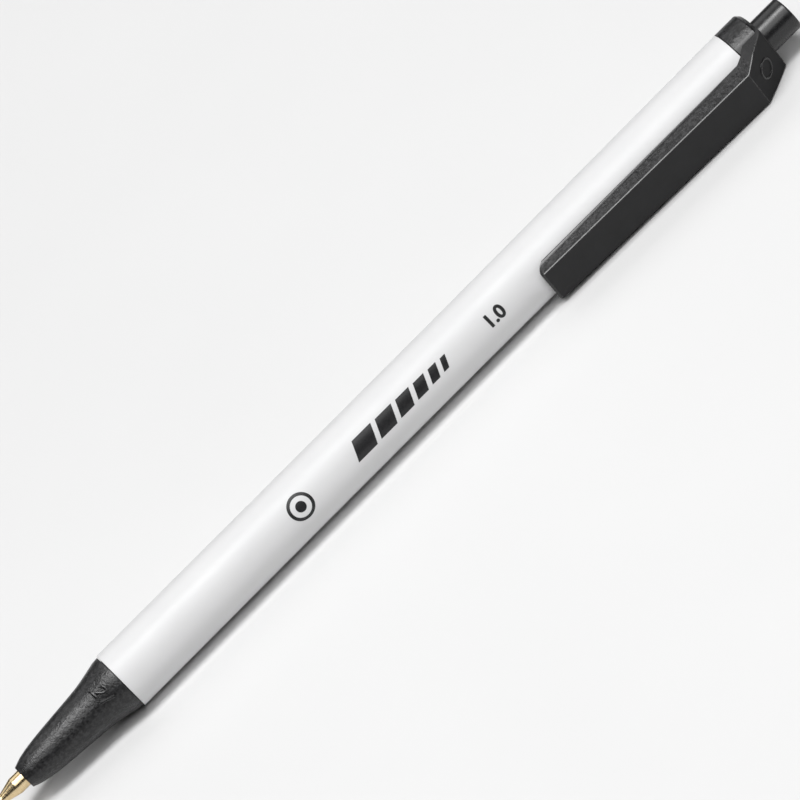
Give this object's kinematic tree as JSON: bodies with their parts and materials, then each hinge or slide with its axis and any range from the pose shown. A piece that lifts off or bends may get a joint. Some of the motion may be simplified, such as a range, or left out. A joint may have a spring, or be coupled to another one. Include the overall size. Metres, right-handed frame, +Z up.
{
  "type": "retractable ballpoint pen",
  "caption": "Slim retractable ballpoint pen: long round barrel, tapered nose cone with a metal writing point, collar with a flat pocket clip, and a round push button at the rear end.",
  "frame": {"origin": "under the middle of the pen's bounding box, on the surface that it lies on", "axes": "+X along the pen from the writing point to the push button, +Z up, the clip towards -Y and dipped 11.93 degrees below level, as the pen comes to rest on a table"},
  "size_m": [0.1446, 0.0114, 0.0092],
  "materials": {
    "barrel_plastic": "glossy opaque white plastic",
    "dark_plastic": "black plastic, satin, finely textured by the mould",
    "natural_plastic": "uncoloured satin plastic",
    "clear_plastic": "translucent tube",
    "ink": "black oil-based ink paste",
    "point_brass": "turned and polished",
    "ball_carbide": "polished tungsten carbide",
    "spring_steel": "bright drawn wire"
  },
  "bodies": {
    "barrel": {"barrel": "barrel_plastic", "nose_cone": "dark_plastic", "clip_cap": "dark_plastic", "return_spring": "spring_steel"},
    "clip": {"clip_arm": "dark_plastic"},
    "button": {"push_button": "dark_plastic"},
    "refill": {"refill_tube": "clear_plastic", "ink_column": "ink", "point_holder": "natural_plastic", "point_body": "point_brass"},
    "rotor": {"rotor": "natural_plastic"},
    "ball": {"writing_ball": "ball_carbide"}
  },
  "joints": [
    {"name": "button_press", "type": "slide", "parent": "barrel", "child": "button", "axis": [1, 0, 0], "range_m": [-0.0012, 0.0052], "stiffness_N_per_m": 250, "springref_m": 0.01},
    {"name": "refill_slide", "type": "slide", "parent": "barrel", "child": "refill", "axis": [1, 0, 0], "range_m": [-0.0012, 0.0052], "deforming": ["return_spring"]},
    {"name": "rotor_turn", "type": "hinge", "parent": "refill", "child": "rotor", "pos_m": [0.0439, 0.00108, 0.0046], "axis": [1, 0, 0], "continuous": true},
    {"name": "ball_roll", "type": "hinge", "parent": "refill", "child": "ball", "pos_m": [-0.07175, 0.00108, 0.0046], "axis": [0, 1, 0], "continuous": true},
    {"name": "clip_flex", "type": "hinge", "parent": "barrel", "child": "clip", "pos_m": [0.0576, -0.0042, 0.00348], "axis": [0, -0.2067, 0.9784], "range_deg": [0, 3.5], "stiffness_Nm_per_rad": 1.5}
  ],
  "couplings": [
    {"joint": "refill_slide", "follows": "button_press", "ratio": 1}
  ]
}
